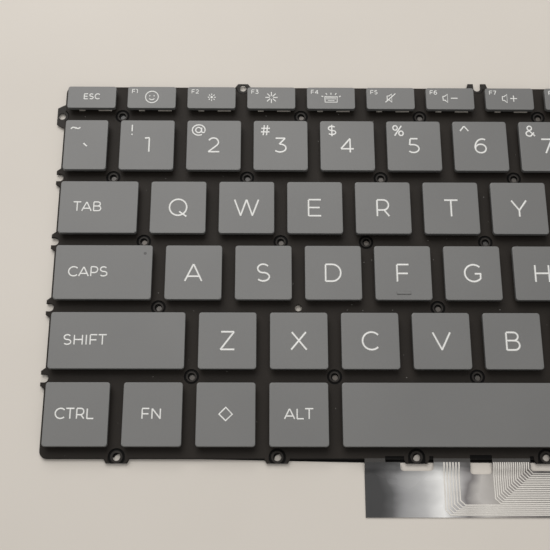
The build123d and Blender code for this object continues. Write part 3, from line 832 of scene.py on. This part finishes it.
def pivots(outerWidth, arm, material):  # pins where the two links cross
    look = scissorLook
    middle = (look["floor"] + look["ceiling"]) / 2
    pins = []
    for side in (-1, 1):
        pin = peg("pin", (0, 0), look["pin"], -arm - look["pinPast"], arm + look["pinPast"], 12)
        activate(pin)
        pin.rotation_euler = (0, math.radians(90), 0)
        pin.location = (side * (outerWidth / 2 - arm) * mm, 0, middle * mm)
        settle()
        coat(pin, material)
        pins.append(pin)
    return pins


def linkPair(length, width, arm, material, turn=0):
    inner = width - 2 * (arm + scissorLook["sideGap"])
    pair = [bentLink(length, width, arm, material, 0), bentLink(length, inner, arm, material, 180)]
    pair = joined("pair", pair + pivots(width, arm, material))
    return setDown(pair, 0, 0, turn)


def rubberDome(base, top):
    look = scissorLook
    height = look["ceiling"] - look["floor"] - look["seat"]
    deselectAll()
    bpy.ops.mesh.primitive_cone_add(vertices=24, radius1=base * mm, radius2=top * mm, depth=height * mm,
                                    location=(0, 0, (look["floor"] + height / 2) * mm))
    dome = bpy.context.object
    settle()
    peak = look["floor"] + height
    pick(dome, "FACE", lambda middle, normal: normal.z > 0.9)
    bpy.ops.mesh.inset(thickness=top * look["domeRim"] * mm)
    push(0, 0, -look["domeDip"])
    leaveEdit()
    roundEdges(dome, look["domeEdge"], 2, lambda a, b: min(a.z, b.z) > peak - 0.01 and a.xy.length > top * 0.9)
    softenNormals(dome)
    coat(dome, domeRubber)
    return dome


def steelBar(width, depth):
    look = scissorLook
    high = look["ceiling"] - look["seat"]
    rear = depth / 2 - capLook["wall"] - look["barRearGap"]
    half = width / 2 - capLook["wall"] - look["barFlankGap"]
    bar = block("bar", (-half, rear - look["barThick"], high - look["barThick"]), (half, rear, high))
    cutNearEnds(bar, half - look["barThick"])
    pick(bar, "FACE", lambda middle, normal: normal.y < -0.9 and abs(middle.x) > half - look["barThick"])
    push(0, look["barThick"] - look["barArm"], 0)
    leaveEdit()
    roundEdges(bar, look["barEdge"], 2, lambda a, b: (a - b).length > 1.0)
    softenNormals(bar)
    coat(bar, barSteel)
    return bar


def frontHooks(spans, width, depth, material):  # feet of the links, just inside the cap's front wall
    look = scissorLook
    near, far = look["hookIn"]
    hooks = []
    for left, right in spans:
        hook = block("hook", (left - width / 2, near - depth / 2, look["floor"]),
                     (right - width / 2, far - depth / 2, look["hookHigh"]))
        roundEdges(hook, look["hookEdge"], 2, lambda a, b: min(a.z, b.z) > look["hookHigh"] - 0.01)
        coat(hook, material)
        hooks.append(hook)
    return hooks


def buildScissor(name, width, depth):
    look, wall = scissorLook, capLook["wall"]
    if depth < keySize / 2 + layout["gap"]:
        length = functionWidth - 2 * (wall + look["shortEndGap"])
        across = layout["functionDepth"] - 2 * (wall + look["shortFlankGap"])
        parts = [linkPair(length, across, look["shortArm"], paleLink, 90),
                 rubberDome(look["shortDomeBase"], look["shortDomeTop"])]
        spans = [(a * width, b * width) for a, b in shortHooks]
        return joined("scissorMaster", parts + frontHooks(spans, width, depth, paleLink))
    length = keySize - 2 * (wall + look["endGap"])
    normal = keySize - 2 * (wall + look["flankGap"])
    spread = look["domeBase"] + look["twinGap"] + normal / 2
    dome = rubberDome(look["domeBase"], look["domeTop"])
    spans = [(x - look["hookHalf"], x + look["hookHalf"]) for x in wideHooks.get(name, ())]
    hooks = frontHooks(spans, width, depth, darkLink)
    if width <= 2 * (spread + normal / 2 + wall + look["flankGap"]):
        across = min(width, keySize) - 2 * (wall + look["flankGap"])
        return joined("scissorMaster", [linkPair(length, across, look["arm"], darkLink), dome] + hooks)
    pairs = [setDown(linkPair(length, normal, look["arm"], darkLink), side * spread, 0) for side in (-1, 1)]
    return joined("scissorMaster", pairs + [dome, steelBar(width, depth)] + hooks)


springNodes = ("outer_links", "inner_links", "short_key_links", "rubber_domes", "stabiliser_bars")
fixedScissors = []
for name in keys:
    width, depth = keys[name][2:]
    size = (round(width, 3), round(depth, 3))
    if size not in scissorMasters:
        scissorMasters[size] = buildScissor(name, width, depth)
    scissor = copyOf(scissorMasters[size], f"scissor.{name}", *keyCentre(name))
    if name in travelling:
        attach(scissor, "base")
        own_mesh(scissor)
        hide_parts(*springNodes)
    else:
        fixedScissors.append(scissor)
fixedScissors = joined("scissors.rightSide", fixedScissors)
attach(fixedScissors, "base")
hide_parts(*springNodes)
for master in scissorMasters.values():
    bpy.data.objects.remove(master)
print("links, domes and bars built")

# plate and film with their holes, tabs and forks

sheetLook = dict(
    side=1.1, rear=1.5, front=2.75, corner=2.0, bite=1.0, plateLow=0.5, plateHigh=0.9, filmHigh=1.2, filmIn=0.2,
    stake=0.98, screw=1.0, sight=0.95, notch=1.05, forkClear=1.15, filmTabIn=0.08,
    stakeShift=0.3, numberShift=0.55, functionShift=0.75, forkDrop=0.5,
    frontTabs=(18.6, 59.5, 95.0), loneTab=128.15, rearTab=49.7, rearFork=117.5,
    grooveHigh=0.912, grooveMore=0.06, notchMore=0.05, sunk=0.1, ringEdge=0.072, clipIn=(0.05, 0.07, 0.09),
    sleeveHole=0.74, sleeveShift=(0.16, -0.14), sleeveHigh=0.74, sleeveGap=0.01)
collarLook = dict(  # radius of the raised ring, of the film's cut round it, and the ring's height
    stake=dict(wide=1.45, clear=2.0, high=1.12), front=dict(wide=1.62, clear=2.2, high=1.12),
    rear=dict(wide=1.7, clear=2.0, high=0.93), sideScrew=dict(wide=1.7, clear=2.0, high=0.93),
    rearFork=dict(wide=1.7, clear=2.0, high=0.93))
tabLook = dict(  # reach past the edge, width at the tip and at the root, and where the hole sits
    front=dict(reach=1.1, tip=5.4, root=6.6, hole=-0.5, open=False),
    rear=dict(reach=1.2, tip=2.9, root=4.6, hole=-0.2, open=False),
    sideScrew=dict(reach=2.15, tip=5.1, root=7.4, hole=0.77, open=False),
    sideFork=dict(reach=1.1, tip=4.0, root=5.6, hole=0.17, open=True),
    rearFork=dict(reach=1.55, tip=5.2, root=6.2, hole=0.2, open=True))
plateLeft, plateRight = -sheetLook["side"], blockWidth + sheetLook["side"]
plateFront, plateRear = -sheetLook["front"], functionRowY + layout["functionDepth"] + sheetLook["rear"]
frontTabs = [*sheetLook["frontTabs"], sheetLook["loneTab"]]
frontTabs += [blockWidth - x for x in reversed(sheetLook["frontTabs"])]
rowY = {row: y - layout["gap"] / 2 + sheetLook["stakeShift"]
        for row, y in (("shift", shiftRowY), ("home", homeRowY), ("upper", upperRowY))}
rowY["number"] = numberRowY - layout["gap"] / 2 + sheetLook["numberShift"]
rowY["function"] = functionRowY - layout["functionRowGap"] / 2 + sheetLook["functionShift"]
forkRows = [rowY["shift"] - sheetLook["forkDrop"], rowY["home"], rowY["upper"], rowY["number"]]
tabPlaces = [("front", x, plateFront, 180) for x in frontTabs]
for kind, x in (("rear", sheetLook["rearTab"]), ("rearFork", sheetLook["rearFork"])):
    tabPlaces += [(kind, x, plateRear, 0), (kind, blockWidth - x, plateRear, 0)]
for x, turn in ((plateLeft, 90), (plateRight, -90)):
    tabPlaces.append(("sideScrew", x, rowY["function"], turn))
    tabPlaces += [("sideFork", x, y, turn) for y in forkRows]


def gapAfter(name):
    x, y, width = keys[name][:3]
    gap = layout["functionGap" if y == functionRowY else "gap"]
    return x + width + gap / 2


stakeGaps = dict(function="esc f3 f5 f7 print", number="grave 2 4 6 equals", upper="tab w t d",
                 home="caps f k", shift="shift_left x v")
stakes = [(gapAfter(name), rowY[row]) for row, names in stakeGaps.items() for name in names.split()]
sightHole = (gapAfter("s"), rowY["home"])


tailLook = dict(
    start=81.7, level=1.35, drop=3.0, dropSteps=8, apron=10.0, connector=24.0, connectorRun=18.0, shift=26.0,
    thick=0.3, smooth=35,
    tabOpening=(8.5, 2.9), slotOpening=(5.6, 3.7), slotAt=29.7, openingRound=0.9, tabNotch=0.75, slotNotch=1.05,
    notchExtra=3.8, lipStart=12.0, lipReach=0.75, lipIn=2.4, lipRunOut=0.6, lipSpan=(0.02, 0.1),
    lipHole=1.3, lipShift=(0.55, -0.5),
    trackThick=0.02, trackLift=0.005, trackSpread=0.5, bend=1.2, trackStart=0.75, trackEnd=-34.6,
    fewTracks=dict(first=101.9, pitch=0.76, count=6, width=0.36, turnY=-14.1, turnPitch=0.48, endX=151.7),
    manyTracks=dict(first=114.6, pitch=0.55, count=17, width=0.32, turnY=-6.3, turnPitch=0.46, endX=160.6))
tailLeft, tailRight = tailLook["start"], blockWidth - tailLook["start"]
slots = (tailLeft + tailLook["slotAt"], tailRight - tailLook["slotAt"])
tailOpenings = [(x, *tailLook["tabOpening"]) for x in frontTabs if tailLeft < x < tailRight]
tailOpenings += [(x, *tailLook["slotOpening"]) for x in slots]
filmNotches = []  # left end, right end and depth from the plate's front edge
for x, width, _ in tailOpenings:
    extra = tailLook["notchExtra"] if x == frontTabs[2] else 0
    deep = tailLook["slotNotch" if x in slots else "tabNotch"]
    filmNotches.append((x - width / 2 - extra, x + width / 2, deep))


def tabSolid(look, inset, low, high):
    root, tip = look["root"] / 2 - inset, look["tip"] / 2 - inset
    tab = block("tab", (-root, -sheetLook["bite"], low), (root, 0, high))
    pick(tab, "FACE", lambda middle, normal: normal.y > 0.9)
    push(0, look["reach"] - inset, 0)
    bpy.ops.transform.resize(value=(tip / root, 1, 1))
    leaveEdit()
    return tab


def tabSolids(kinds, inset, low, high):
    return joined("tabs", [setDown(tabSolid(tabLook[kind], inset, low, high), *place)
                           for kind, *place in tabPlaces if kind in kinds])


def slotCutter(radius, start, end, low, high):  # a round end, drawn out past the sheet's edge
    cutter = peg("cutter", (0, start), radius, low, high)
    for vert in cutter.data.vertices:
        if vert.co.y / mm > start + 0.01:
            vert.co.y += (end - start) * mm
    return cutter


def boss(kind, place=(0, 0)):  # raised ring round a hole
    look = collarLook[kind]
    ring = peg("boss", place, look["wide"], sheetLook["plateHigh"] - sheetLook["sunk"], look["high"])
    if look["high"] > sheetLook["plateHigh"] + sheetLook["ringEdge"]:  # the low ones stay square
        roundEdges(ring, sheetLook["ringEdge"], 2, lambda a, b: min(a.z, b.z) > look["high"] - 0.01)
    return ring


# a disc between the boss and the film's cut, near-black as painted shade in the groove
def grooveFloor(kind, place=(0, 0)):
    return peg("groove", place, collarLook[kind]["clear"] + sheetLook["grooveMore"],
               sheetLook["plateHigh"] - sheetLook["sunk"], sheetLook["grooveHigh"])


def shadeSleeve():  # a near-black ring in each stake hole, thicker on one side: painted shade for the hole's shadowed wall
    low = sheetLook["plateLow"]
    ring = peg("shadeSleeve", (0, 0), sheetLook["stake"] - sheetLook["sleeveGap"], low, sheetLook["sleeveHigh"])
    hole = peg("cutter", sheetLook["sleeveShift"], sheetLook["sleeveHole"], low - 1, low + 1)
    combine(ring, hole, "DIFFERENCE")
    coat(ring, paintedShadeBlack)
    return ring


def sheetBlank(name, inset, low, high):
    sheet = block(name, (plateLeft + inset, plateFront + inset, low), (plateRight - inset, plateRear - inset, high))
    roundEdges(sheet, sheetLook["corner"] - inset, 8, lambda a, b: abs(a.z - b.z) > 0.05)
    return sheet


def notchBlocks(name, more, low, high):
    return [block(name, (left, plateFront - 1, low), (right, plateFront + deep + more, high))
            for left, right, deep in filmNotches]


def holeCutters(stakeRadius, slotOf, low, high):  # slotOf gives a tab's radius and the end of its cut
    cutters = atEach(peg("cutter", (0, 0), stakeRadius, low, high), stakes)
    cutters.append(peg("cutter", sightHole, sheetLook["sight"], low, high))
    for kind, *place in tabPlaces:
        radius, end = slotOf(kind, tabLook[kind])
        cutters.append(setDown(slotCutter(radius, tabLook[kind]["hole"], end, low, high), *place))
    return joined("cutters", cutters)


def plateSlot(kind, look):
    return (sheetLook["notch"], look["reach"] + 2) if look["open"] else (sheetLook["screw"], look["hole"])


def filmSlot(kind, look):
    return collarLook[kind]["clear"] if kind in collarLook else sheetLook["forkClear"], look["reach"] + 3


def intoPartFrame(obj):
    obj.data.transform(Matrix.Translation((-layout["originX"] * mm, -layout["originY"] * mm, 0)))
    return obj


def buildPlate():
    low, high = sheetLook["plateLow"], sheetLook["plateHigh"]
    plate = sheetBlank("basePlate", 0, low, high)
    combine(plate, tabSolids(tabLook, 0, low, high), "UNION")
    grooves = atEach(grooveFloor("stake"), stakes)
    rings = atEach(boss("stake"), stakes)
    for kind, *place in tabPlaces:
        if kind in collarLook:
            middle = (0, tabLook[kind]["hole"])
            grooves.append(setDown(grooveFloor(kind, middle), *place))
            rings.append(setDown(boss(kind, middle), *place))
    # blocks under the film's notches, near-black as painted shade at the plate's edge
    notches = notchBlocks("groove", sheetLook["notchMore"], high - sheetLook["sunk"], sheetLook["grooveHigh"])
    for raised, inset in zip((grooves, notches, rings), sheetLook["clipIn"]):  # kept inside the plate's outline
        raised = joined("raised", raised)
        clip = combine(sheetBlank("clip", inset, low, high + 1), tabSolids(["front"], inset, low, high + 1), "UNION")
        combine(raised, clip, "INTERSECT")
        combine(plate, raised, "UNION")
    combine(plate, holeCutters(sheetLook["stake"], plateSlot, low - 1, high + 1), "DIFFERENCE")
    coat(plate, blackPlate, paintedShadeBlack, bossBlack)
    for face in plate.data.polygons:  # painted shade in the grooves and on the side walls, the ring tops a touch paler
        height = face.center.z / mm
        if face.normal.z > 0.5:
            face.material_index = int(height > high + 0.005) + int(height > sheetLook["grooveHigh"] + 0.005)
        elif face.normal.z > -0.5:
            face.material_index = 1
    plate = joined("basePlate", [cleaned(plate)] + atEach(shadeSleeve(), stakes))
    return intoPartFrame(plate)


def buildFilm():
    low, high = sheetLook["plateHigh"], sheetLook["filmHigh"]
    film = sheetBlank("switchFilm", sheetLook["filmIn"], low, high)
    combine(film, joined("cutters", notchBlocks("cutter", 0, low - 1, high + 1)), "DIFFERENCE")
    combine(film, tabSolids(("front", "sideFork"), sheetLook["filmTabIn"], low, high), "UNION")
    combine(film, holeCutters(collarLook["stake"]["clear"], filmSlot, low - 1, high + 1), "DIFFERENCE")
    coat(film, blackFilm)
    return intoPartFrame(cleaned(film))


plate = buildPlate()
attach(plate, "base")
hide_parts("base_plate")
film = buildFilm()
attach(film, "base")
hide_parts("membrane_sheet")
print("plate and film built:", len(plate.data.polygons), len(film.data.polygons), "faces")

# film tail at the front edge, with its printed tracks, and a near-black lip under the plate's edge as painted shadow


# a near-black strip under the plate's front edge by the tail: painted shadow of the gap under the plate
def buildLip():
    look = tailLook
    low, high = look["lipSpan"]
    lip = block("shadowLip", (tailLeft, plateFront - look["lipReach"], low),
                (tailRight, plateFront + look["lipIn"], high))
    for side in (-1, 1):
        pick(lip, "FACE", lambda middle, normal: normal.x * side > 0.9)
        push(side * (look["start"] - look["lipStart"]), 0, 0)
        leaveEdit()
    for vert in lip.data.vertices:  # it runs out under the plate at both ends
        if vert.co.y / mm < plateFront and not tailLeft - 1 < vert.co.x / mm < tailRight + 1:
            vert.co.y = (plateFront + look["lipRunOut"]) * mm
    across, along = look["lipShift"]
    holes = [peg("cutter", (x + across, plateFront - tabLook["front"]["hole"] + along), look["lipHole"], -1, 1)
             for x in frontTabs]
    combine(lip, joined("cutters", holes), "DIFFERENCE")
    coat(lip, paintedShadeBlack)
    return intoPartFrame(lip)


def softStep(share):
    return share * share * (3 - 2 * share)


foldLine = []  # y and the height of the top face, down the fold
for step in range(tailLook["dropSteps"] + 1):
    share = step / tailLook["dropSteps"]
    foldLine.append((plateFront - tailLook["level"] - share * tailLook["drop"],
                     sheetLook["filmHigh"] + softStep(share) * (tailLook["thick"] - sheetLook["filmHigh"])))


def buildTail():
    look = tailLook
    top, thick = sheetLook["filmHigh"], look["thick"]
    start = plateFront + sheetLook["filmIn"]
    fold = plateFront - look["level"]
    tail = block("filmTail", (tailLeft, fold, top - thick), (tailRight, start, top))
    pick(tail, "FACE", lambda middle, normal: normal.y < -0.9)
    for before, after in zip(foldLine, foldLine[1:]):
        push(0, after[0] - before[0], after[1] - before[1])
    push(0, -look["apron"], 0)
    leaveEdit()
    cutters = []
    for x, width, run in tailOpenings:
        cutter = block("cutter", (x - width / 2, plateFront - run, -1), (x + width / 2, start + 1, 3))
        roundEdges(cutter, look["openingRound"], 5, lambda a, b: abs(a.z - b.z) > 1 and a.y < start)
        cutters.append(cutter)
    combine(tail, joined("cutters", cutters), "DIFFERENCE")
    left = frontTabs[2] - look["tabOpening"][0] / 2
    corner = (left - look["notchExtra"], plateFront - look["lipReach"], -1)
    combine(tail, block("cutter", corner, (left + 1, start + 1, 3)), "DIFFERENCE")
    foot = fold - look["drop"] - look["apron"]
    middle = blockWidth / 2 + look["shift"]
    end = block("connector", (middle - look["connector"] / 2, foot - look["connectorRun"], 0),
                (middle + look["connector"] / 2, foot + 0.5, thick))
    combine(tail, end, "UNION")
    activate(tail)
    bpy.ops.object.shade_smooth_by_angle(angle=math.radians(look["smooth"]))
    coat(tail, filmGloss)
    return intoPartFrame(tail)


def tailHeight(y):
    for (y0, z0), (y1, z1) in zip(foldLine, foldLine[1:]):
        if y1 <= y <= y0:
            return z0 + (z1 - z0) * (y0 - y) / (y0 - y1)
    return foldLine[0][1] if y > foldLine[0][0] else foldLine[-1][1]


def straightDown(x, start, end):  # a run along the fold, with a point at each of its steps
    return [(x, start)] + [(x, y) for y, _ in foldLine if end + 0.01 < y < start - 0.01] + [(x, end)]


def trackRun(name, paths, width):  # ribbons that lie on the tail's top face
    deselectAll()
    bpy.ops.curve.primitive_nurbs_path_add()
    outline = bpy.context.object
    outline.data.splines.clear()
    half, thick = width / 2, tailLook["trackThick"]
    addLine(outline.data, [(-half, -thick, 0), (half, -thick, 0), (half, thick, 0), (-half, thick, 0)], True)
    curve = strokeCurve(name)
    curve.bevel_mode = "OBJECT"
    curve.bevel_object = outline
    for path in paths:
        addLine(curve, [(x, y, tailHeight(y) + tailLook["trackLift"]) for x, y in path])
    obj = asMesh(name, curve)
    bpy.data.objects.remove(outline)
    coat(obj, trackSilver)
    return obj


def trackPaths(group):  # down from the plate, off to the right, and down again to the connector
    look = tailLook
    bend = look["bend"]
    paths = []
    for step in range(group["count"]):  # counted from the right
        x = group["first"] + group["pitch"] * (group["count"] - 1 - step)
        y = group["turnY"] - group["turnPitch"] * step
        end = group["endX"] - look["trackSpread"] * step
        paths.append(straightDown(x, plateFront - look["trackStart"], y + bend) + [(x + bend, y), (end - bend, y)]
                     + straightDown(end, y - bend, look["trackEnd"]))
    return paths


def buildTracks():
    groups = [tailLook["fewTracks"], tailLook["manyTracks"]]
    pieces = [trackRun("tracks", trackPaths(group), group["width"]) for group in groups]
    return intoPartFrame(joined("tailTracks", pieces))


tail = buildTail()
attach(tail, "base")
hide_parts("membrane_sheet")
lip = buildLip()
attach(lip, "base")
tracks = buildTracks()
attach(tracks, "base")
print("tail built")

# the plain sheets keep their solids and get a finish, the light guide a dark painted-shade one

for node, material in (("light_guide", shadedGuideSheet), ("rear_shield", shieldFilm), ("tail_stiffener", stiffenerBlue)):
    coat(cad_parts[node], material)
print("plain sheets dressed")

# table, light and camera

stageLook = dict(
    floorSize=3.0, floorDrop=0.00003, lampSize=0.8, lampPower=8.05, lampPlace=(-0.24, 0.56, 0.76),
    fillSize=0.9, fillPower=2.6, fillPlace=(0.10, -0.30, 0.95), aim=(-0.03, 0.02, 0), worldStrength=0.25,
    tint=(1.0, 0.985, 0.965))


def tableMaterial():
    material, tree, shader = newMaterial("paleTable", 0.6)
    grain = objectNoise(tree, 60, 3.0)
    toned(tree, shader, grain.outputs["Fac"], (0.580, 0.542, 0.492), (0.605, 0.566, 0.515))
    return material


deselectAll()
bpy.ops.mesh.primitive_plane_add(size=stageLook["floorSize"], location=(0, 0, -stageLook["floorDrop"]))
floor = bpy.context.object
floor.name = "table"
coat(floor, tableMaterial())


def softBox(kind):
    deselectAll()
    bpy.ops.object.light_add(type="AREA", location=stageLook[kind + "Place"])
    lamp = bpy.context.object
    lamp.name = kind
    lamp.data.size = stageLook[kind + "Size"]
    lamp.data.energy = stageLook[kind + "Power"]
    lamp.data.color = stageLook["tint"]
    lamp.rotation_mode = "QUATERNION"
    lamp.rotation_quaternion = (Vector(stageLook["aim"]) - lamp.location).to_track_quat("-Z", "Y")


softBox("lamp")
softBox("fill")
world = bpy.data.worlds.new("softRoom")
scene.world = world
world.use_nodes = True
background = world.node_tree.nodes["Background"]
background.inputs["Color"].default_value = (*stageLook["tint"], 1)
background.inputs["Strength"].default_value = stageLook["worldStrength"]

cameraLook = dict(
    place=(-0.07762, -0.064555, 0.23842), sensor=36.0, lens=60.29, near=0.01, tilt=-17.770, pan=0.505, roll=-0.155)
deselectAll()
bpy.ops.object.camera_add(location=cameraLook["place"])
camera = bpy.context.object
camera.data.sensor_width = cameraLook["sensor"]
camera.data.lens = cameraLook["lens"]
camera.data.clip_start = cameraLook["near"]
turns = [Matrix.Rotation(math.radians(cameraLook[part]), 3, axis)
         for part, axis in (("roll", "Z"), ("pan", "Y"), ("tilt", "X"))]
camera.rotation_mode = "QUATERNION"
camera.rotation_quaternion = (turns[0] @ turns[1] @ turns[2]).transposed().to_quaternion()
scene.camera = camera
scene.view_settings.view_transform = "Standard"
print("table, light and camera set")

print("sizes written")
